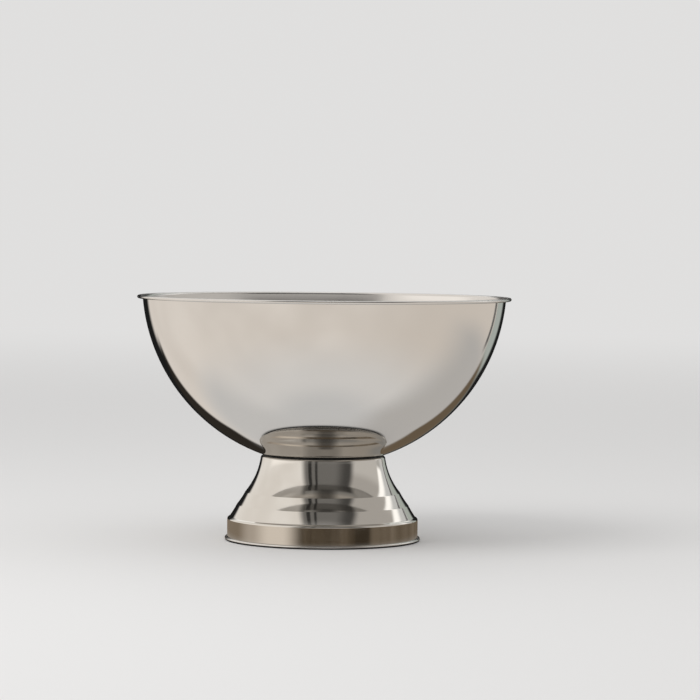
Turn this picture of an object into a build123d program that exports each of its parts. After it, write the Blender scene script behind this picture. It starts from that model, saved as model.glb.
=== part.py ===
from build123d import *

import os
from math import sqrt

os.makedirs("parts", exist_ok=True)

# Champagne bowl on a screwed-on pedestal foot. Millimetres, +Z up.
# The origin is the centre of the foot, on the plane that it stands on.
# Round pieces are half sections, drawn as (radius, height) and turned about Z.

# Driving dimensions
overall_height = 241.8
rim_diameter = 370.0
bowl_radius = 180.2
sheet = 0.8
bead_radius = 1.6
gap = 0.05

# Bowl: a spun part-sphere with a flat middle, its rim bent out and rolled over a wire
bowl_centre_z = 254.9
bowl_inner_radius = bowl_radius - sheet
bowl_flat_radius = 28.0
bowl_knuckle = 14.0
rim_bend = 2.4
rim_bead = (rim_diameter / 2 - bead_radius, overall_height - bead_radius)
rim_bend_drop = bowl_centre_z - (overall_height - rim_bend)
rim_bend_reach = sqrt((bowl_inner_radius + rim_bend) ** 2 - rim_bend_drop**2)
wall_share = bowl_inner_radius / (bowl_inner_radius + rim_bend)
wall_top = (rim_bend_reach * wall_share, bowl_centre_z - rim_bend_drop * wall_share)
rim_curl = 250.0
wire_radius = bead_radius - sheet - gap

# Seat gasket, between the bowl and the pedestal's flange
gasket_thickness = 0.95
gasket_inner_radius = 51.0
gasket_outer_radius = 59.8
gasket_top = bowl_radius + gap
gasket_bottom = gasket_top + gasket_thickness

# Pedestal: a flange under the gasket, three flares, a ledge, a skirt and a rolled hem
flange_face = gasket_bottom + gap
flange_hole_radius = 50.0
shoulder_radius = 61.4
shoulder_round = 1.8
flare_ends = [(76.7, 47.7), (84.9, 35.2), (92.1, 23.3)]
flare_sagittas = [-2.9, -0.35, -0.2]
crease_round = 0.9
ledge_edge = (94.5, 22.0)
ledge_inner_round = 1.5
ledge_outer_round = 2.3
skirt_inner_radius = ledge_edge[0] - sheet
grip_proud = 0.3
hem_bead = (skirt_inner_radius + bead_radius, grip_proud + bead_radius)
hem_curl = 250.0

# Foot grip ring, glued inside the skirt
grip_width = 3.2
grip_height = 5.0
grip_edge = 0.6

# Weld stud on its plate, under the bowl
stud_plate_radius = 22.0
stud_plate_thickness = 2.0
stud_plate_edge = 0.5
stud_radius = 4.0
stud_length = 30.0
stud_collar_radius = 6.5
stud_collar_height = 1.2
stud_point = 1.0

# Clamp plate: a dished plate that bears up against the inside of the flange
clamp_sheet = 1.5
clamp_face = flange_face + sheet + gap
clamp_rim_radius = 56.5
clamp_shoulder_radius = 47.0
clamp_web_radius = 34.0
clamp_web_z = 69.0
clamp_round = 4.0
clamp_hole_radius = 4.4

# Washers
washer_radius = 12.0
washer_hole_radius = 4.2
washer_thickness = 1.6
washer_edge = 0.3
lock_radius = 7.4
lock_hole_radius = 4.1
lock_thickness = 2.0
lock_slit = 0.8
lock_slit_lean = 25.0

# Wing nut, to the proportions of an M8 one
nut_bore_radius = stud_radius + gap
nut_base_radius = 8.0
nut_nose_radius = 6.25
nut_hub_height = 8.0
nut_height = 20.0
nut_half_span = 19.5
wing_thickness = 2.6
wing_root = 5.5
wing_knee_reach = 13.5
wing_knee_drop = 2.5
wing_bulge_drop = 13.0
wing_tip_width = 7.5
wing_round = 3.5
wing_inset = 0.8
wing_edge = 0.4

# Heights stacked down from the bowl's flat
bowl_floor_z = bowl_centre_z - sqrt(bowl_inner_radius**2 - bowl_flat_radius**2)
stud_plate_z = bowl_floor_z - sheet - stud_plate_thickness
washer_z = clamp_web_z - clamp_sheet - washer_thickness
lock_z = washer_z - lock_thickness
nut_tip_z = lock_z - nut_height


def on_sphere(radius, reach):
    """Point of the half section that is on a sphere about the bowl's centre."""
    return (reach, bowl_centre_z - sqrt(radius**2 - reach**2))


# Corners of the pedestal's outer face: slight creases, and full bends of the sheet
shoulder = on_sphere(flange_face, shoulder_radius)
creases = list(zip(flare_ends, [crease_round, crease_round, ledge_inner_round]))
bends = [(shoulder, shoulder_round), (ledge_edge, ledge_outer_round)]


# Bowl shell: the inner face, from the axis to the end of the curl, thickened outwards
with BuildPart() as bowl_shell:
    with BuildSketch(Plane.XZ):
        with BuildLine() as bowl_inside:
            Line((0, bowl_floor_z), (bowl_flat_radius, bowl_floor_z))
            RadiusArc((bowl_flat_radius, bowl_floor_z), wall_top, -bowl_inner_radius)
            fillet(bowl_inside.vertices().sort_by(Axis.X)[1], bowl_knuckle)
            RadiusArc(wall_top, (rim_bend_reach, overall_height), rim_bend)
            Line((rim_bend_reach, overall_height), (rim_bead[0], overall_height))
            CenterArc(rim_bead, bead_radius, 90, -rim_curl)
            offset(amount=sheet, side=Side.RIGHT)
        make_face()
    revolve(axis=Axis.Z)
bowl_shell.part.label = "bowl_shell"
export_step(bowl_shell.part, "parts/bowl_shell.step")


# Rim wire: the core that the rim is rolled over
with BuildPart() as rim_wire:
    with BuildSketch(Plane.XZ):
        with Locations(rim_bead):
            Circle(wire_radius)
    revolve(axis=Axis.Z)
rim_wire.part.label = "rim_wire"
export_step(rim_wire.part, "parts/rim_wire.step")


# Stud plate: a disc welded to the flat of the bowl's underside
with BuildPart() as stud_plate:
    with BuildSketch(Plane.XY.offset(stud_plate_z)):
        Circle(stud_plate_radius)
    extrude(amount=stud_plate_thickness)
    chamfer(stud_plate.edges().group_by(Axis.Z)[0], stud_plate_edge)
stud_plate.part.label = "stud_plate"
export_step(stud_plate.part, "parts/stud_plate.step")


# Mounting stud: a flanged weld stud under the plate, its thread at full diameter
with BuildPart() as mounting_stud:
    with BuildSketch(Plane.XY.offset(stud_plate_z)):
        Circle(stud_collar_radius)
    extrude(amount=-stud_collar_height)
    with BuildSketch(Plane.XY.offset(stud_plate_z)):
        Circle(stud_radius)
    extrude(amount=-stud_length)
    chamfer(mounting_stud.edges().group_by(Axis.Z)[0], stud_point)
mounting_stud.part.label = "mounting_stud"
export_step(mounting_stud.part, "parts/mounting_stud.step")


# Seat gasket: a thin rubber ring, dished to the bowl
with BuildPart() as seat_gasket:
    with BuildSketch(Plane.XZ):
        with BuildLine():
            top = RadiusArc(
                on_sphere(gasket_top, gasket_inner_radius),
                on_sphere(gasket_top, gasket_outer_radius),
                -gasket_top,
            )
            bottom = RadiusArc(
                on_sphere(gasket_bottom, gasket_inner_radius),
                on_sphere(gasket_bottom, gasket_outer_radius),
                -gasket_bottom,
            )
            Line(top @ 0, bottom @ 0)
            Line(top @ 1, bottom @ 1)
        make_face()
    revolve(axis=Axis.Z)
seat_gasket.part.label = "seat_gasket"
export_step(seat_gasket.part, "parts/seat_gasket.step")


# Pedestal shell: the outer face, from the flange's hole to the end of the hem's curl,
# thickened inwards
with BuildPart() as pedestal_shell:
    with BuildSketch(Plane.XZ) as pedestal_section:
        with BuildLine():
            RadiusArc(on_sphere(flange_face, flange_hole_radius), shoulder, -flange_face)
            for start, end, sagitta in zip([shoulder] + flare_ends, flare_ends, flare_sagittas):
                SagittaArc(start, end, sagitta)
            Line(flare_ends[-1], ledge_edge)
            Line(ledge_edge, (ledge_edge[0], hem_bead[1]))
            CenterArc(hem_bead, bead_radius - sheet, 180, hem_curl)
            offset(amount=sheet, side=Side.RIGHT)
        make_face()
        for corner, radius in creases:
            fillet(pedestal_section.vertices().sort_by_distance(corner)[0], radius)
        for corner, outer_radius in bends:
            for radius in [outer_radius, outer_radius - sheet]:
                fillet(pedestal_section.vertices().sort_by_distance(corner)[0], radius)
    revolve(axis=Axis.Z)
pedestal_shell.part.label = "pedestal_shell"
export_step(pedestal_shell.part, "parts/pedestal_shell.step")


# Hem wire: the core that the foot's hem is rolled over
with BuildPart() as hem_wire:
    with BuildSketch(Plane.XZ):
        with Locations(hem_bead):
            Circle(wire_radius)
    revolve(axis=Axis.Z)
hem_wire.part.label = "hem_wire"
export_step(hem_wire.part, "parts/hem_wire.step")


# Foot grip ring: soft, glued inside the skirt, standing a little below the hem
with BuildPart() as foot_grip_ring:
    with BuildSketch():
        Circle(skirt_inner_radius - gap)
        Circle(skirt_inner_radius - gap - grip_width, mode=Mode.SUBTRACT)
    extrude(amount=grip_height)
    chamfer(foot_grip_ring.edges().group_by(Axis.Z)[0], grip_edge)
foot_grip_ring.part.label = "foot_grip_ring"
export_step(foot_grip_ring.part, "parts/foot_grip_ring.step")


# Clamp plate: its upper face, from the stud's hole to the rim, thickened downwards
with BuildPart() as clamp_plate:
    with BuildSketch(Plane.XZ):
        with BuildLine() as clamp_top:
            clamp_web_edge = (clamp_web_radius, clamp_web_z)
            clamp_shoulder = on_sphere(clamp_face, clamp_shoulder_radius)
            Line((clamp_hole_radius, clamp_web_z), clamp_web_edge)
            Line(clamp_web_edge, clamp_shoulder)
            RadiusArc(clamp_shoulder, on_sphere(clamp_face, clamp_rim_radius), -clamp_face)
            for corner in [clamp_web_edge, clamp_shoulder]:
                fillet(clamp_top.vertices().sort_by_distance(corner)[0], clamp_round)
            offset(amount=clamp_sheet, side=Side.RIGHT)
        make_face()
    revolve(axis=Axis.Z)
clamp_plate.part.label = "clamp_plate"
export_step(clamp_plate.part, "parts/clamp_plate.step")


# Flat washer, under the clamp plate
with BuildPart() as flat_washer:
    with BuildSketch(Plane.XY.offset(washer_z)):
        Circle(washer_radius)
        Circle(washer_hole_radius, mode=Mode.SUBTRACT)
    extrude(amount=washer_thickness)
    chamfer(flat_washer.edges().group_by(Axis.Z)[0].sort_by(SortBy.LENGTH)[-1], washer_edge)
flat_washer.part.label = "flat_washer"
export_step(flat_washer.part, "parts/flat_washer.step")


# Lock washer: a split spring ring, pressed flat, its slit leaning
with BuildPart() as lock_washer:
    with BuildSketch(Plane.XY.offset(lock_z)):
        Circle(lock_radius)
        Circle(lock_hole_radius, mode=Mode.SUBTRACT)
    extrude(amount=lock_thickness)
    with BuildSketch(Plane.YZ):
        with Locations((0, lock_z + lock_thickness / 2)):
            Rectangle(lock_slit, 2 * lock_thickness, rotation=lock_slit_lean)
    extrude(amount=lock_radius, mode=Mode.SUBTRACT)
lock_washer.part.label = "lock_washer"
export_step(lock_washer.part, "parts/lock_washer.step")


# Wing nut: a tapered hub with two wings hanging below it, its thread at full diameter
with BuildPart() as wing_nut:
    with BuildSketch(Plane.XZ):
        with BuildLine():
            Polyline(
                (wing_root, lock_z - wing_inset),
                (wing_knee_reach, lock_z - wing_knee_drop),
                (nut_half_span, lock_z - wing_bulge_drop),
                (nut_half_span, nut_tip_z),
                (nut_half_span - wing_tip_width, nut_tip_z),
                (wing_root, lock_z - nut_hub_height + wing_inset),
                close=True,
            )
        wing_outline = make_face()
        fillet(wing_outline.vertices().sort_by(Axis.X)[2:], wing_round)
    extrude(amount=wing_thickness / 2, both=True)
    wing_rims = wing_nut.edges().filter_by(Axis.Y, reverse=True)
    chamfer(wing_rims.filter_by(lambda edge: edge.center().X > nut_base_radius), wing_edge)
    mirror(about=Plane.YZ)
    with BuildSketch(Plane.XY.offset(lock_z - nut_hub_height)):
        Circle(nut_nose_radius)
    with BuildSketch(Plane.XY.offset(lock_z)):
        Circle(nut_base_radius)
    loft()
    with Locations((0, 0, lock_z)):
        Hole(nut_bore_radius)
wing_nut.part.label = "wing_nut"
export_step(wing_nut.part, "parts/wing_nut.step")
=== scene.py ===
import math

import bmesh
import bpy
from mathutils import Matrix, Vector


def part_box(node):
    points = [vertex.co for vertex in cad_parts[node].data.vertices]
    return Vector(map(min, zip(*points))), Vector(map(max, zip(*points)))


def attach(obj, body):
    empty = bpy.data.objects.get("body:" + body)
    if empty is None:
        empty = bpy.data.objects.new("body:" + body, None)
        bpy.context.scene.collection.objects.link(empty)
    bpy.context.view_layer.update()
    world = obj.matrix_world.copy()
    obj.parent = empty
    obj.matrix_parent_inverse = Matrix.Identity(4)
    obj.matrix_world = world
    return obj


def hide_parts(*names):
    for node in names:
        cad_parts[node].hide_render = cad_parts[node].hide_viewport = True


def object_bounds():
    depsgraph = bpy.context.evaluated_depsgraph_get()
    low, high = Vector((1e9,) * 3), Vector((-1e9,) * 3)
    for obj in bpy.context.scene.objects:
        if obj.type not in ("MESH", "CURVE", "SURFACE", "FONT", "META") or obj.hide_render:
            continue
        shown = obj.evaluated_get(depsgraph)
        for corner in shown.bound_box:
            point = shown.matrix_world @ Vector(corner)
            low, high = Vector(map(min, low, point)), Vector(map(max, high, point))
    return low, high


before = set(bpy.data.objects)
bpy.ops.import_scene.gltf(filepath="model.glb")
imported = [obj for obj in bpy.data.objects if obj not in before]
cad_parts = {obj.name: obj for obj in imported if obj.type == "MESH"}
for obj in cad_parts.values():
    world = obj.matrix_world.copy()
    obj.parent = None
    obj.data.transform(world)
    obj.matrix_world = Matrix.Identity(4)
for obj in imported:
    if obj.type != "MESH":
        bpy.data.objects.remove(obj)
cad_low, cad_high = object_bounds()

# A champagne bowl on a spun pedestal foot, in metres. A round piece is a closed half
# section, a list of (reach from the axis, height), turned about Z.

# ---------------------------------------------------------------- sizes of the sheet work
MM = 0.001
GAP = 0.05 * MM
SHEET = 0.8 * MM
BEAD_RADIUS = 1.6 * MM
CURL_SWEEP = 250
CURL_APPROACH = 4  # bands of the sheet before or after a curl that share its finish
BOWL_RADIUS = 180.2 * MM
BOWL_FLAT_RADIUS = 28 * MM
BOWL_KNUCKLE = 14 * MM
RIM_BEND = 2.4 * MM
GASKET_INNER_RADIUS = 51 * MM
FLANGE_HOLE_RADIUS = 50 * MM
SHOULDER_RADIUS = 61.4 * MM
SHOULDER_ROUND = 1.8 * MM
# each flare of the pedestal: where it ends, how far its middle is hollowed, how its end is rounded
FLARES = [
    ((76.7 * MM, 47.7 * MM), -2.9 * MM, 0.9 * MM),
    ((84.9 * MM, 35.2 * MM), -0.35 * MM, 0.9 * MM),
    ((92.1 * MM, 23.3 * MM), -0.2 * MM, 1.5 * MM),
]
LEDGE_HEIGHT = 22.0 * MM
LEDGE_ROUND = 2.3 * MM

# ---------------------------------------------------------------- places taken from the frame
bowl_low, bowl_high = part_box("bowl_shell")
foot_low, foot_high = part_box("pedestal_shell")
gasket_low, gasket_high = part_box("seat_gasket")
ring_low, ring_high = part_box("foot_grip_ring")
stud_low, stud_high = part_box("mounting_stud")
nut_low, nut_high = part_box("wing_nut")

bowl_inner_radius = BOWL_RADIUS - SHEET
bowl_floor = bowl_low.z + SHEET
bowl_centre = (0, bowl_floor + math.sqrt(bowl_inner_radius**2 - BOWL_FLAT_RADIUS**2))
rim_bead = (bowl_high.x - BEAD_RADIUS, bowl_high.z - BEAD_RADIUS)
hem_bead = (foot_high.x - BEAD_RADIUS, foot_low.z + BEAD_RADIUS)
gasket_top_radius = math.hypot(gasket_high.x, bowl_centre[1] - gasket_high.z)
gasket_bottom_radius = math.hypot(GASKET_INNER_RADIUS, bowl_centre[1] - gasket_low.z)
seat_radius = gasket_bottom_radius + GAP

# how finely a piece is divided: facets round it, lengths along its outline, degrees round a bend
AROUND = 288
FINE_STEP = 0.6 * MM
WIDE_STEP = 2.5 * MM
BEND_STEP = 7.5
ON_AXIS = 0.001 * MM


# ---------------------------------------------------------------- outlines
def arc(centre, radius, start, sweep, step=BEND_STEP):
    """Points along an arc about centre; start, sweep and step are in degrees."""
    count = math.ceil(abs(sweep) / step)
    angles = [math.radians(start + sweep * i / count) for i in range(count + 1)]
    return [(centre[0] + radius * math.cos(a), centre[1] + radius * math.sin(a)) for a in angles]


def bowed(start, end, sagitta=0.0, step=FINE_STEP):
    """Points from start to end, the middle standing sagitta to the left of the straight way."""
    start, end = Vector(start), Vector(end)
    way = end - start
    left = Vector((-way.y, way.x)).normalized()
    count = max(2, math.ceil(way.length / step))
    shares = [i / count for i in range(count + 1)]
    return [tuple(start + way * t + left * 4 * sagitta * t * (1 - t)) for t in shares]


def on_sphere(radius, reach):
    """The point of the half section on the underside of a sphere about the bowl's centre."""
    return (reach, bowl_centre[1] - math.sqrt(radius**2 - reach**2))


def sphere_arc(radius, first_reach, last_reach):
    """Points along the underside of a sphere about the bowl's centre."""
    first = math.degrees(math.asin(first_reach / radius))
    last = math.degrees(math.asin(last_reach / radius))
    return arc(bowl_centre, radius, first - 90, last - first, math.degrees(WIDE_STEP / radius))


def rounded_join(before, after, radius):
    """Two outlines that meet at a corner, made one, with the corner rounded."""
    corner = Vector(before[-1])
    way_in = (corner - Vector(before[-2])).normalized()
    way_out = (Vector(after[1]) - corner).normalized()
    turn = math.atan2(way_in.x * way_out.y - way_in.y * way_out.x, way_in.dot(way_out))
    trim = radius * math.tan(abs(turn) / 2)
    start = corner - way_in * trim
    centre = start + math.copysign(radius, turn) * Vector((-way_in.y, way_in.x))
    first = math.degrees(math.atan2(start.y - centre.y, start.x - centre.x))
    clear = trim + FINE_STEP / 4
    kept_before = [p for p in before if (Vector(p) - corner).length > clear]
    kept_after = [p for p in after if (Vector(p) - corner).length > clear]
    return kept_before + arc(centre, radius, first, math.degrees(turn)) + kept_after


def sheet_edge(start, end, way):
    """The rounded edge of a sheet, from one face's end to the other's."""
    middle = (start + end) / 2
    reach = (start - end).length / 2
    steps = 6
    turns = [math.pi * i / steps for i in range(1, steps)]
    side = (start - middle).normalized()
    return [tuple(middle + reach * (side * math.cos(t) + way * math.sin(t))) for t in turns]


def sheet_section(face):
    """The closed section of the sheet to the right of a face, its free edges rounded,
    and how many of its points are on that face."""
    points = [Vector(p) for p in face]
    last = len(points) - 1
    ways = [(points[min(i + 1, last)] - points[max(i - 1, 0)]).normalized() for i in range(last + 1)]
    other = [p + SHEET * Vector((w.y, -w.x)) for p, w in zip(points, ways)]
    section = [tuple(p) for p in points]
    section += sheet_edge(points[-1], other[-1], ways[-1])
    section += [tuple(p) for p in reversed(other)]
    if points[0].x > SHEET:
        section += sheet_edge(other[0], points[0], -ways[0])
    return section, len(points)


# ---------------------------------------------------------------- meshes
def turned(name, section, around=AROUND, reshape=None, closed=True):
    """A mesh made by turning a half section about Z. Reshape may change a point's reach, given
    its reach, height and angle. A section that isn't closed starts and ends on the axis."""
    verts = []
    rings = []
    for reach, height in section:
        if reach < ON_AXIS:
            rings.append([len(verts)])
            verts.append((0, 0, height))
            continue
        rings.append(list(range(len(verts), len(verts) + around)))
        for i in range(around):
            angle = math.tau * i / around
            r = reshape(reach, height, angle) if reshape else reach
            verts.append((r * math.cos(angle), r * math.sin(angle), height))
    faces = []
    bands = []
    following = rings[1:] + rings[:1] if closed else rings[1:]
    for band, (this, after) in enumerate(zip(rings, following)):
        if len(this) == len(after) == 1:
            continue
        for i in range(around):
            j = (i + 1) % around
            ring_of_four = [
                this[i % len(this)],
                this[j % len(this)],
                after[j % len(after)],
                after[i % len(after)],
            ]
            faces.append(list(dict.fromkeys(ring_of_four)))
            bands.append(band)
    mesh = bpy.data.meshes.new(name)
    mesh.from_pydata(verts, [], faces)
    mesh["bands"] = bands
    return mesh


def face_outwards(mesh):
    """Turns the faces of a closed mesh outwards and shades them smooth."""
    work = bmesh.new()
    work.from_mesh(mesh)
    bmesh.ops.recalc_face_normals(work, faces=work.faces)
    work.to_mesh(mesh)
    work.free()
    mesh.polygons.foreach_set("use_smooth", [True] * len(mesh.polygons))
    mesh.update()


def finish_bands(mesh, changes):
    """Gives the faces of a turned mesh their materials: changes lists each first band and the
    material's index from there on."""
    finishes = [[index for first, index in changes if first <= band][-1] for band in mesh["bands"]]
    mesh.polygons.foreach_set("material_index", finishes)


def add_piece(mesh, body, slot, stands_for, *materials):
    """The object for a mesh: it rides on a body and stands for a CAD node."""
    face_outwards(mesh)
    obj = bpy.data.objects.new(mesh.name, mesh)
    bpy.context.scene.collection.objects.link(obj)
    for material in materials:
        mesh.materials.append(material)
    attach(obj, body)
    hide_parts(stands_for)
    return obj


# ---------------------------------------------------------------- material nodes
class Graph:
    """A node tree with short ways to add nodes. A value is a socket, a number or a vector."""

    def __init__(self, tree):
        self.tree = tree

    def node(self, kind, values=(), **settings):
        """Adds a node; values go to its inputs, by position or by name."""
        node = self.tree.nodes.new(kind)
        for key, setting in settings.items():
            setattr(node, key, setting)
        self.feed(node, values)
        return node

    def feed(self, node, values):
        """Sets a node's inputs, by position or by name."""
        pairs = values.items() if isinstance(values, dict) else enumerate(values)
        for key, value in pairs:
            if isinstance(value, bpy.types.NodeSocket):
                self.tree.links.new(value, node.inputs[key])
            else:
                node.inputs[key].default_value = value

    def math(self, operation, *values):
        return self.node("ShaderNodeMath", values, operation=operation).outputs[0]

    def vector(self, operation, *values):
        node = self.node("ShaderNodeVectorMath", values, operation=operation)
        return node.outputs["Value" if operation in ("DOT_PRODUCT", "LENGTH") else "Vector"]

    def rise(self, value, low, high, start=0.0, end=1.0):
        """start below low, end above high, smooth between."""
        entries = {"Value": value, "From Min": low, "From Max": high, "To Min": start, "To Max": end}
        node = self.node("ShaderNodeMapRange", entries, interpolation_type="SMOOTHSTEP")
        return node.outputs["Result"]

    def band(self, value, low, high, edge):
        """1 between low and high, 0 outside them, smooth over edge on each side."""
        upper = self.rise(value, high, high + edge, 1.0, 0.0)
        return self.both(self.rise(value, low - edge, low), upper)

    def both(self, first, second):
        """The product of two shares."""
        return self.math("MULTIPLY", first, second)

    def mix(self, share, first, second):
        """first where share is 0, second where it is 1."""
        colour_inputs = {0: share, 6: first, 7: second}
        return self.node("ShaderNodeMix", colour_inputs, data_type="RGBA").outputs[2]

    def noise(self, vector, scale, detail=2.0, roughness=0.5):
        entries = {"Vector": vector, "Scale": scale, "Detail": detail, "Roughness": roughness}
        return self.node("ShaderNodeTexNoise", entries).outputs["Fac"]

    def position(self):
        return self.node("ShaderNodeTexCoord").outputs["Object"]


def grey(level, warmth=0.0):
    """A colour of that linear level, leaning to red and away from blue by warmth."""
    return (level * (1 + warmth), level, level * (1 - warmth), 1)


def new_material(name):
    """A node material, as its graph and its Principled shader."""
    material = bpy.data.materials.new(name)
    material.use_nodes = True
    return material, Graph(material.node_tree), material.node_tree.nodes["Principled BSDF"]


def turning_lines(graph, density, streak):
    """Noise in rings about Z, as a tool leaves them: density rings a metre, broken up by streak."""
    x, y, z = graph.node("ShaderNodeSeparateXYZ", (graph.position(),)).outputs
    reach = graph.math("SQRT", graph.math("MULTIPLY_ADD", x, x, graph.math("MULTIPLY", y, y)))
    turn = graph.math("ARCTAN2", y, x)
    place = graph.node(
        "ShaderNodeCombineXYZ",
        (
            graph.math("MULTIPLY", reach, density),
            graph.math("MULTIPLY", z, density),
            graph.math("MULTIPLY", graph.math("COSINE", turn), streak),
        ),
    )
    entries = {
        "Vector": place.outputs[0],
        "W": graph.math("MULTIPLY", graph.math("SINE", turn), streak),
        "Scale": 1.0,
        "Detail": 3.0,
    }
    return graph.node("ShaderNodeTexNoise", entries, noise_dimensions="4D").outputs["Fac"]


def steel(name, colour, roughness, ring_density, ring_depth, wave_depth, anisotropy=0.0, haziness=0.8):
    """Steel with tool rings about Z, slow waves in the sheet and a little handling haze."""
    material, graph, shader = new_material(name)
    rings = turning_lines(graph, ring_density, streak=1.5)
    haze = graph.noise(graph.position(), scale=22, detail=4, roughness=0.6)
    waves = graph.noise(graph.position(), scale=38, detail=1, roughness=0.4)
    dulled = [level * 0.97 for level in colour[:3]] + [1]
    tint = graph.mix(haze, dulled, colour)
    spread = graph.math("MULTIPLY_ADD", rings, roughness * 0.5, roughness * 0.5)
    hazy = graph.math("MULTIPLY_ADD", graph.rise(haze, 0.35, 0.8), roughness * haziness, spread)
    relief = graph.math("MULTIPLY_ADD", waves, wave_depth, graph.math("MULTIPLY", rings, ring_depth))
    bump = graph.node("ShaderNodeBump", {"Strength": 1.0, "Distance": 1.0, "Height": relief})
    tangent = graph.node("ShaderNodeTangent", direction_type="RADIAL", axis="Z")
    looks = {
        "Base Color": tint,
        "Metallic": 1.0,
        "Roughness": hazy,
        "Anisotropic": anisotropy,
        "Tangent": tangent.outputs[0],
        "Normal": bump.outputs[0],
    }
    graph.feed(shader, looks)
    return material


def zinc_plate():
    """Bright zinc: cool grey, lightly mottled, with blue and straw lights in the passivation."""
    material, graph, shader = new_material("zinc_plate")
    place = graph.position()
    mottle = graph.noise(place, scale=900, detail=4, roughness=0.65)
    drift = graph.noise(place, scale=160)
    tint = graph.mix(graph.rise(drift, 0.35, 0.65), (0.62, 0.67, 0.74, 1), (0.76, 0.73, 0.62, 1))
    grain = graph.node("ShaderNodeBump", {"Strength": 0.5, "Distance": 0.02 * MM, "Height": mottle})
    looks = {
        "Base Color": tint,
        "Metallic": 1.0,
        "Roughness": graph.math("MULTIPLY_ADD", mottle, 0.25, 0.2),
        "Normal": grain.outputs[0],
    }
    graph.feed(shader, looks)
    return material


def black_rubber():
    """Moulded rubber: near black, matt, with a fine moulded grain and a dusty bloom."""
    material, graph, shader = new_material("black_rubber")
    place = graph.position()
    grain = graph.noise(place, scale=2600, detail=3, roughness=0.6)
    bloom = graph.noise(place, scale=120, detail=3)
    relief = graph.node("ShaderNodeBump", {"Strength": 0.6, "Distance": 0.04 * MM, "Height": grain})
    looks = {
        "Base Color": graph.mix(graph.rise(bloom, 0.4, 0.8), grey(0.012), grey(0.035, 0.05)),
        "Roughness": graph.math("MULTIPLY_ADD", grain, 0.2, 0.5),
        "Normal": relief.outputs[0],
    }
    graph.feed(shader, looks)
    return material


STAINLESS = (0.86, 0.845, 0.82, 1)
# the foot's warmer tint is a painted reflection: it stands for a warm table mirrored in the foot, not
# a different steel
STAINLESS_WITH_PAINTED_WARM_REFLECTION = (0.87, 0.845, 0.795, 1)
UNPOLISHED = (0.6, 0.59, 0.57, 1)
mirror = steel(
    "mirror_polished_steel",
    STAINLESS,
    roughness=0.05,
    ring_density=2400,
    ring_depth=0.0002 * MM,
    wave_depth=0.006 * MM,
)
foot_mirror = steel(
    "spun_polished_steel",
    STAINLESS_WITH_PAINTED_WARM_REFLECTION,
    roughness=0.07,
    ring_density=1500,
    ring_depth=0.0009 * MM,
    wave_depth=0.02 * MM,
)
rolled = steel(
    "rolled_edge_steel",
    STAINLESS,
    roughness=0.2,
    ring_density=2400,
    ring_depth=0.0005 * MM,
    wave_depth=0.01 * MM,
)
satin = steel(
    "satin_spun_steel",
    STAINLESS,
    roughness=0.22,
    ring_density=3000,
    ring_depth=0.004 * MM,
    wave_depth=0.01 * MM,
    anisotropy=0.6,
    haziness=0.3,
)
mill = steel(
    "mill_finish_steel",
    UNPOLISHED,
    roughness=0.3,
    ring_density=1200,
    ring_depth=0.004 * MM,
    wave_depth=0.02 * MM,
    anisotropy=0.3,
)
zinc = zinc_plate()
rubber = black_rubber()


# ---------------------------------------------------------------- the pieces
def make_bowl():
    """Spun bowl: satin inside, mirror outside, its rim bent out and rolled into a bead."""
    floor_face = bowed((0, bowl_floor), (BOWL_FLAT_RADIUS, bowl_floor), step=WIDE_STEP)
    wall_reach = math.sqrt(bowl_inner_radius**2 - (bowl_centre[1] - bowl_high.z) ** 2)
    wall = sphere_arc(bowl_inner_radius, BOWL_FLAT_RADIUS, wall_reach)
    rim_flat = bowed((wall_reach, bowl_high.z), (rim_bead[0], bowl_high.z))
    face = rounded_join(floor_face, wall, BOWL_KNUCKLE)
    face = rounded_join(face, rim_flat, RIM_BEND)
    inside_count = len(face)
    face += arc(rim_bead, BEAD_RADIUS, 90, -CURL_SWEEP)[1:]
    section, _ = sheet_section(face)
    mesh = turned("spun_bowl", section)
    finish_bands(mesh, [(0, 0), (inside_count - CURL_APPROACH, 1), (len(face), 2)])
    return add_piece(mesh, "bowl", "polished_steel", "bowl_shell", satin, rolled, mirror)


def make_pedestal():
    """Spun foot: a seat under the bowl, three flares, a ledge, a skirt and a rolled hem."""
    shoulder = on_sphere(seat_radius, SHOULDER_RADIUS)
    skirt_reach = hem_bead[0] - BEAD_RADIUS + SHEET
    ledge_edge = (skirt_reach, LEDGE_HEIGHT)
    face = sphere_arc(seat_radius, FLANGE_HOLE_RADIUS, SHOULDER_RADIUS)
    corner_round = SHOULDER_ROUND
    start = shoulder
    for end, sagitta, end_round in FLARES:
        face = rounded_join(face, bowed(start, end, sagitta), corner_round)
        start, corner_round = end, end_round
    face = rounded_join(face, bowed(start, ledge_edge), corner_round)
    face = rounded_join(face, bowed(ledge_edge, (skirt_reach, hem_bead[1])), LEDGE_ROUND)
    hem = arc(hem_bead, BEAD_RADIUS - SHEET, 180, CURL_SWEEP)[1:]
    face += hem
    section, outside_count = sheet_section(face)
    mesh = turned("spun_pedestal", section)
    hem_end = outside_count + len(hem) + CURL_APPROACH
    polished_inside = (len(section) - outside_count) // 3
    mill_from = outside_count + polished_inside + 1
    finish_bands(mesh, [(0, 0), (outside_count, 1), (hem_end, 0), (mill_from, 2)])
    return add_piece(mesh, "pedestal", "polished_steel", "pedestal_shell", foot_mirror, rolled, mill)


def make_gasket():
    """Seat gasket: a thin ring dished to the bowl, pressed out a little at its edges."""
    inner, outer = GASKET_INNER_RADIUS, gasket_high.x
    bulge = 0.25 * MM
    top = sphere_arc(gasket_top_radius, inner + bulge, outer - bulge)
    bottom = sphere_arc(gasket_bottom_radius, inner + bulge, outer - bulge)
    middle = (gasket_top_radius + gasket_bottom_radius) / 2
    section = top + [on_sphere(middle, outer)] + bottom[::-1] + [on_sphere(middle, inner)]
    mesh = turned("pressed_gasket", section)
    return add_piece(mesh, "gasket", "black_rubber", "seat_gasket", rubber)


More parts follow.
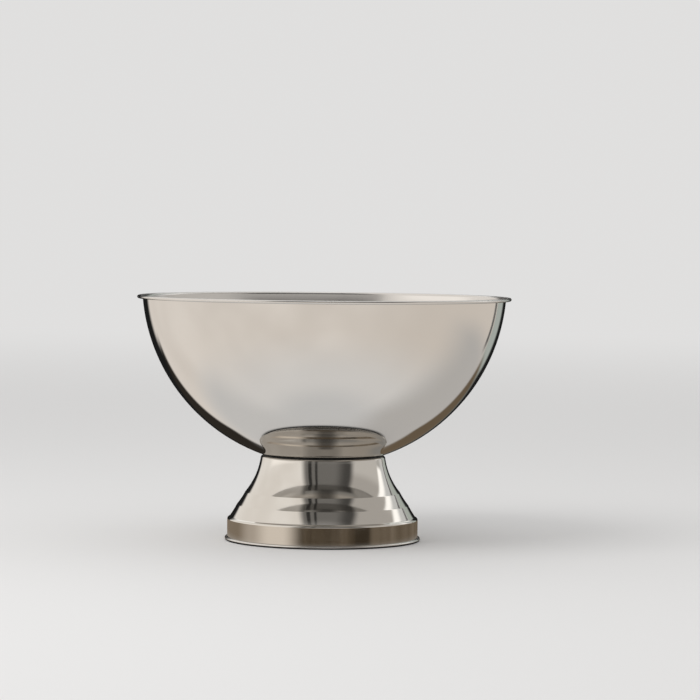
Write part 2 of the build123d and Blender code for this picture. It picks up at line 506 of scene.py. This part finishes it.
def make_grip_ring():
    """Grip ring: a rubber ring inside the foot, with three round treads underneath."""
    width = 3.2 * MM
    outer = ring_high.x
    inner = outer - width
    edge = 0.5 * MM
    groove = 0.35 * MM
    treads = 3
    steps = 24
    underside = []
    for i in range(steps + 1):
        share = i / steps
        lift = groove * (0.5 + 0.5 * math.cos(math.tau * treads * share))
        underside.append((inner + edge / 2 + (width - edge) * share, ring_low.z + lift))
    outer_wall = [(outer, ring_low.z + edge * 2), (outer, ring_high.z - edge)]
    crown = [(outer - edge, ring_high.z), (inner + edge, ring_high.z)]
    inner_wall = [(inner, ring_high.z - edge), (inner, ring_low.z + edge * 2)]
    mesh = turned("treaded_grip_ring", underside + outer_wall + crown + inner_wall)
    return add_piece(mesh, "pedestal", "black_rubber", "foot_grip_ring", rubber)


def make_stud():
    """Weld stud: a collar and an M8 coarse thread cut to full depth."""
    pitch = 1.25 * MM
    major = 4.0 * MM
    depth = 0.7 * MM
    point = 1.0 * MM
    collar_height = 1.2 * MM
    run_out_length = 2.0 * MM
    flank_slope = 1.3
    root_width = 0.15
    steps_per_pitch = 12
    facets = 64
    thread_top = stud_high.z - collar_height
    rows = round((thread_top - stud_low.z) / pitch * steps_per_pitch)
    heights = [thread_top + (stud_low.z - thread_top) * i / rows for i in range(rows + 1)]

    def cut(reach, height, angle):
        """A right-hand thread that runs out under the collar and is pointed at the end."""
        if reach != major:
            return reach
        phase = (height / pitch - angle / math.tau) % 1
        flank = min(1, max(0, abs(2 * phase - 1) * flank_slope - root_width))
        run_out = min(1, max(0, (thread_top - height) / run_out_length))
        cut_reach = major - depth * run_out * (1 - flank)
        return min(cut_reach, major - point + (height - stud_low.z))

    collar = [(0, stud_high.z), (stud_high.x, stud_high.z), (stud_high.x, thread_top)]
    section = collar + [(major, height) for height in heights] + [(0, stud_low.z)]
    mesh = turned("threaded_stud", section, facets, cut, closed=False)
    return add_piece(mesh, "bowl", "zinc_plated_steel", "mounting_stud", zinc)


def wing_outline(side):
    """Corners of one wing of the nut, from the hub's top round its tip and back."""
    top = nut_high.z
    span = nut_high.x
    root, knee = 5.5 * MM, 13.5 * MM
    root_drop, knee_drop, bulge_drop, underside_drop = 0.8 * MM, 2.5 * MM, 13 * MM, 7.2 * MM
    tip_width = 7.5 * MM
    corner_round = 3.2 * MM
    way_round = [
        (root, top - root_drop),
        (knee, top - knee_drop),
        (span, top - bulge_drop),
        (span, nut_low.z),
        (span - tip_width, nut_low.z),
        (root, top - underside_drop),
    ]
    outline = bowed(way_round[0], way_round[1])
    for start, end in zip(way_round[1:], way_round[2:]):
        outline = rounded_join(outline, bowed(start, end), corner_round)
    return [(side * reach, height) for reach, height in outline]


def add_slab(work, outline, thickness):
    """A closed slab in a bmesh, its outline in XZ, centred on y = 0."""
    verts = [[work.verts.new((x, y, z)) for x, z in outline] for y in (-thickness / 2, thickness / 2)]
    for ring in verts:
        work.faces.new(ring)
    for i in range(len(outline)):
        j = (i + 1) % len(outline)
        work.faces.new((verts[0][i], verts[0][j], verts[1][j], verts[1][i]))


def make_wing_nut():
    """Cast wing nut: a bored hub and two wings, melted together as a casting is."""
    bore, nose = 4.05 * MM, 6.25 * MM
    hub_height = 8 * MM
    wing_thickness = 2.6 * MM
    grain = 0.3 * MM
    facets = 96
    foot = nut_high.z - hub_height
    hub = [(bore, nut_high.z), (nut_high.y, nut_high.z), (nose, foot), (bore, foot)]
    mesh = turned("cast_wing_nut", hub, facets)
    work = bmesh.new()
    work.from_mesh(mesh)
    for side in (-1, 1):
        add_slab(work, wing_outline(side), wing_thickness)
    bmesh.ops.recalc_face_normals(work, faces=work.faces)
    work.to_mesh(mesh)
    work.free()
    blank = bpy.data.objects.new("nut_blank", mesh)
    bpy.context.scene.collection.objects.link(blank)
    remesh = blank.modifiers.new("melt", "REMESH")
    remesh.mode = "VOXEL"
    remesh.voxel_size = grain
    smooth = blank.modifiers.new("ease", "SMOOTH")
    smooth.factor = 0.5
    smooth.iterations = 6
    graph = bpy.context.evaluated_depsgraph_get()
    melted = bpy.data.meshes.new_from_object(blank.evaluated_get(graph))
    bpy.data.objects.remove(blank)
    bpy.data.meshes.remove(mesh)
    melted.name = "cast_wing_nut"
    return add_piece(melted, "wing_nut", "zinc_plated_steel", "wing_nut", zinc)


def dress(node, material):
    """Gives a CAD node that is shown as it is one material."""
    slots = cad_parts[node].data.materials
    slots.clear()
    slots.append(material)


make_bowl()
make_pedestal()
make_gasket()
make_grip_ring()
make_stud()
make_wing_nut()
for node in ("rim_wire", "hem_wire", "stud_plate", "clamp_plate"):
    dress(node, mill)
for node in ("flat_washer", "lock_washer"):
    dress(node, zinc)

# ---------------------------------------------------------------- studio
# Azimuths and elevations are in degrees, distances in metres.
PAPER = grey(0.74, 0.008)
# near black: the dark room behind the bowl, and also the painted shadow under the hem
DARK_ROOM_AND_HEM_SHADOW = grey(0.012)


def look(graph, direction):
    """The azimuth and elevation of a direction, in degrees. Azimuth 0 is towards the camera and
    grows to the camera's right, so that the studio turns with the camera."""
    ahead = graph.node(
        "ShaderNodeVectorTransform",
        ((0, 0, 1),),
        vector_type="VECTOR",
        convert_from="CAMERA",
        convert_to="WORLD",
    )
    level = graph.vector("NORMALIZE", graph.vector("MULTIPLY", ahead.outputs[0], (1, 1, 0)))
    across = graph.vector("CROSS_PRODUCT", level, (0, 0, 1))
    right = graph.vector("DOT_PRODUCT", direction, across)
    front = graph.math("MULTIPLY", graph.vector("DOT_PRODUCT", direction, level), -1.0)
    up = graph.node("ShaderNodeSeparateXYZ", (direction,)).outputs[2]
    azimuth = graph.math("DEGREES", graph.math("ARCTAN2", right, front))
    return azimuth, graph.math("DEGREES", graph.math("ARCSINE", up))


def tent_above(graph, azimuth, elevation, cloud):
    """Above the horizon: a warm panel on the left, a dark gap in front of the bowl with two thin
    stands in it, and grey and white panels on the right."""
    light = graph.mix(cloud, grey(0.70, 0.06), grey(0.80, 0.045))
    low_left = graph.both(graph.rise(elevation, 8, 14, 1.0, 0.0), graph.band(azimuth, -100, -60, 18))
    light = graph.mix(low_left, light, grey(0.95, 0.05))
    for start, end, colour in [
        (-44, -30, grey(0.15, 0.05)),
        (20, 46, grey(0.06, 0.05)),
        (50, 64, graph.mix(graph.band(elevation, 4, 20, 14), grey(0.38, 0.06), grey(0.50, 0.05))),
        (114, 120, graph.mix(graph.rise(elevation, 7, 12), grey(0.42, 0.04), grey(1.15, 0.02))),
        (124, 132, grey(0.58)),
    ]:
        light = graph.mix(graph.rise(azimuth, start, end), light, colour)
    for start, end in [(-26, -22), (-13, -11)]:
        light = graph.mix(graph.band(azimuth, start, end, 2.5), light, grey(0.03, 0.05))
    low_gap = graph.both(graph.rise(elevation, 8, 14, 1.0, 0.0), graph.band(azimuth, -28, 60, 8))
    light = graph.mix(low_gap, light, grey(0.42, 0.04))
    return graph.mix(graph.rise(elevation, 56, 78), light, grey(0.60, 0.02))


def tent_below(graph, azimuth, elevation, cloud):
    """Below the horizon: even paper, darker off to the sides."""
    off_axis = graph.math("ABSOLUTE", azimuth)
    light = graph.mix(cloud, grey(0.62, 0.09), grey(0.72, 0.08))
    light = graph.mix(graph.rise(azimuth, 20, 70), light, grey(0.58, 0.1))
    light = graph.mix(graph.rise(elevation, -60, -25, 0.8, 0.0), light, grey(0.67, 0.015))
    off_side = graph.both(graph.rise(off_axis, 80, 125), graph.rise(elevation, -45, -28, 1.0, 0.0))
    light = graph.mix(off_side, light, grey(0.58, 0.02))
    right_side = graph.both(graph.rise(azimuth, 80, 125), graph.rise(elevation, -20, -10, 1.0, 0.0))
    light = graph.mix(right_side, light, grey(0.46, 0.04))
    return graph.mix(graph.rise(elevation, -80, -60, 1.0, 0.0), light, grey(0.58, 0.01))


def beyond_tent(graph, azimuth, elevation, light):
    """Behind the bowl, past the tent's edges: a dark room over a dark table, light again high up.
    On the right a pale screen and its dark frame stand between the tent and the room."""
    off_axis = graph.math("ABSOLUTE", azimuth)
    table_edge = graph.math("MULTIPLY_ADD", elevation, -0.45, 137.0)
    past_edge = graph.rise(graph.math("SUBTRACT", off_axis, table_edge), 0, 5)
    table = graph.mix(graph.rise(azimuth, -90, 90), grey(0.022, 0.2), grey(0.10, 0.35))
    light = graph.mix(graph.both(past_edge, graph.band(elevation, -33, -14, 4)), light, table)
    over_table = graph.rise(elevation, -17, -13)
    frame_share = graph.both(over_table, graph.band(azimuth, 140, 142, 1.5))
    light = graph.mix(frame_share, light, grey(0.12, 0.03))
    screen_share = graph.both(over_table, graph.rise(azimuth, 143, 145))
    light = graph.mix(screen_share, light, (0.40, 0.43, 0.40, 1))
    room = graph.mix(graph.rise(elevation, 14, 26), DARK_ROOM_AND_HEM_SHADOW, grey(0.9, 0.02))
    sides = graph.math("ADD", graph.rise(azimuth, 154, 160), graph.rise(azimuth, -153, -146, 1.0, 0.0))
    return graph.mix(graph.both(over_table, sides), light, room)


def inner_shade(graph, azimuth, elevation):
    """How far a direction darkens where steel is seen in steel: towards the table, overhead where
    the bowl is in the way, and more after each bounce."""
    bounces = graph.node("ShaderNodeLightPath").outputs["Glossy Depth"]
    near_table = graph.both(graph.rise(elevation, -8, 4, 1.0, 0.0), graph.band(azimuth, -20, 20, 60))
    far_table = graph.both(graph.band(elevation, -14, 12, 8), graph.band(azimuth, 2, 10, 45))
    deepest = graph.both(near_table, 0.7)
    for shade in [
        graph.both(far_table, 0.9),
        graph.rise(elevation, 50, 70, 0.5, 0.0),
        graph.rise(bounces, 2.2, 2.8, 0.0, 0.45),
    ]:
        deepest = graph.math("MAXIMUM", deepest, shade)
    return graph.both(graph.rise(bounces, 1.2, 1.8), deepest)


def studio_panorama(graph, direction):
    """What polished steel mirrors in a direction, darker where it mirrors other steel."""
    azimuth, elevation = look(graph, direction)
    cloud = graph.rise(graph.noise(direction, scale=1.3), 0.3, 0.7)
    above = tent_above(graph, azimuth, elevation, cloud)
    below = tent_below(graph, azimuth, elevation, cloud)
    light = graph.mix(graph.rise(elevation, -3, 6), below, above)
    light = graph.mix(inner_shade(graph, azimuth, elevation), light, grey(0.02, 0.1))
    return beyond_tent(graph, azimuth, elevation, light)


def floor_by_foot(graph, azimuth):
    """What the skirt mirrors of the floor close to it: lit on the left, else dark with streaks."""
    streaks_per_degree = 0.06
    along = graph.math("MULTIPLY", azimuth, streaks_per_degree)
    place = graph.node("ShaderNodeCombineXYZ", (along, 0.0, 0.0)).outputs[0]
    streaks = graph.rise(graph.noise(place, scale=1.0, detail=3), 0.35, 0.7)
    light = grey(0.17, 0.25)
    for start, end, colour in [
        (-125, -95, grey(0.36, 0.15)),
        (-95, -65, grey(0.60, 0.12)),
        (-50, -20, graph.mix(streaks, grey(0.042, 0.35), grey(0.085, 0.3))),
        (38, 42, grey(0.028, 0.35)),
        (56, 66, graph.mix(streaks, grey(0.09, 0.3), grey(0.14, 0.25))),
    ]:
        light = graph.mix(graph.rise(azimuth, start, end), light, colour)
    return light


def choose_shader(graph, share, first, second):
    """The first shader where share is 0, the second where it is 1."""
    return graph.node("ShaderNodeMixShader", (share, first, second)).outputs[0]


def make_world():
    """Pale to the camera, soft white to matt surfaces, the studio panorama to polished ones."""
    world = bpy.data.worlds.new("studio")
    bpy.context.scene.world = world
    world.use_nodes = True
    world.node_tree.nodes.clear()
    graph = Graph(world.node_tree)
    path = graph.node("ShaderNodeLightPath")
    direction = graph.node("ShaderNodeTexCoord").outputs["Generated"]
    soft = graph.node("ShaderNodeBackground", (grey(0.8), 1.0)).outputs[0]
    paper = graph.node("ShaderNodeBackground", (PAPER, 1.0)).outputs[0]
    tent = graph.node("ShaderNodeBackground", (studio_panorama(graph, direction), 1.0)).outputs[0]
    seen = choose_shader(graph, path.outputs["Is Camera Ray"], soft, paper)
    lit = choose_shader(graph, path.outputs["Is Glossy Ray"], seen, tent)
    graph.node("ShaderNodeOutputWorld", (lit,))


def floor_in_steel(graph, paper, away, direction):
    """What polished steel mirrors of the floor: the tent, dimmer near the foot, and a painted shadow
    under the hem.
    """
    azimuth, elevation = look(graph, direction)
    by_foot = graph.both(graph.rise(away, 0.45, 0.75, 1.0, 0.0), graph.rise(elevation, -11, -8))
    light = graph.mix(by_foot, studio_panorama(graph, direction), floor_by_foot(graph, azimuth))
    tent = graph.node("ShaderNodeEmission", (light, 1.0)).outputs[0]
    mirrored = choose_shader(graph, graph.rise(away, 0.05, 0.16, 0.5, 1.0), paper, tent)
    # painted shadow: steel sees a near-black emission on the floor just under the hem, in place of the
    # foot's contact shadow
    shade = graph.node("ShaderNodeEmission", (DARK_ROOM_AND_HEM_SHADOW, 1.0)).outputs[0]
    hem_shadow_share = graph.band(away, hem_bead[0] - 4 * MM, hem_bead[0] + 3 * MM, 6 * MM)
    return choose_shader(graph, hem_shadow_share, mirrored, shade)


def make_floor():
    """A wide pale floor, clear from below, that fades into the backdrop far off."""
    half = 12.0
    corners = [(x * half, y * half, 0) for x, y in ((-1, -1), (1, -1), (1, 1), (-1, 1))]
    mesh = bpy.data.meshes.new("studio_floor")
    mesh.from_pydata(corners, [], [(0, 1, 2, 3)])
    floor = bpy.data.objects.new("studio_floor", mesh)
    bpy.context.scene.collection.objects.link(floor)
    material, graph, shader = new_material("pale_floor")
    mesh.materials.append(material)
    graph.feed(shader, {"Base Color": grey(0.78, 0.008), "Roughness": 0.8})
    geometry = graph.node("ShaderNodeNewGeometry")
    away = graph.vector("LENGTH", geometry.outputs["Position"])
    backdrop = graph.node("ShaderNodeEmission", (PAPER, 1.0)).outputs[0]
    paper = choose_shader(graph, graph.rise(away, 1.2, 6.0), shader.outputs[0], backdrop)
    ray = {"Vector": geometry.outputs["Incoming"], "Scale": -1.0}
    direction = graph.node("ShaderNodeVectorMath", ray, operation="SCALE").outputs["Vector"]
    mirrored = floor_in_steel(graph, shader.outputs[0], away, direction)
    from_steel = graph.node("ShaderNodeLightPath").outputs["Is Glossy Ray"]
    surface = choose_shader(graph, from_steel, paper, mirrored)
    clear = graph.node("ShaderNodeBsdfTransparent").outputs[0]
    surface = choose_shader(graph, geometry.outputs["Backfacing"], surface, clear)
    graph.feed(material.node_tree.nodes["Material Output"], {"Surface": surface})


def soft_light(name, place, side, power):
    """A square area light aimed at the object."""
    data = bpy.data.lights.new(name, "AREA")
    data.size = side
    data.energy = power
    light = bpy.data.objects.new(name, data)
    light.location = place
    middle = Vector((0, 0, cad_high.z / 2))
    light.rotation_euler = (middle - Vector(place)).to_track_quat("-Z", "Y").to_euler()
    light.visible_glossy = False
    bpy.context.scene.collection.objects.link(light)


def make_camera():
    """A long lens a little above the rim, tilted down onto the bowl."""
    view_distance = 3.053
    eye_height = 0.3149
    focal_length, sensor_width = 158.66, 36
    pitch, yaw, roll = (math.radians(angle) for angle in (2.367, 0.46, 0.55))
    data = bpy.data.cameras.new("camera")
    data.sensor_width = sensor_width
    data.lens = focal_length
    camera = bpy.data.objects.new("camera", data)
    camera.location = (0, -view_distance, eye_height)
    camera.rotation_euler = (math.pi / 2 - pitch, -roll, -yaw)
    bpy.context.scene.collection.objects.link(camera)
    bpy.context.scene.camera = camera


make_world()
make_floor()
soft_light("key", place=(-1.1, -0.9, 1.7), side=1.3, power=14)
make_camera()
bpy.context.scene.view_settings.view_transform = "Standard"
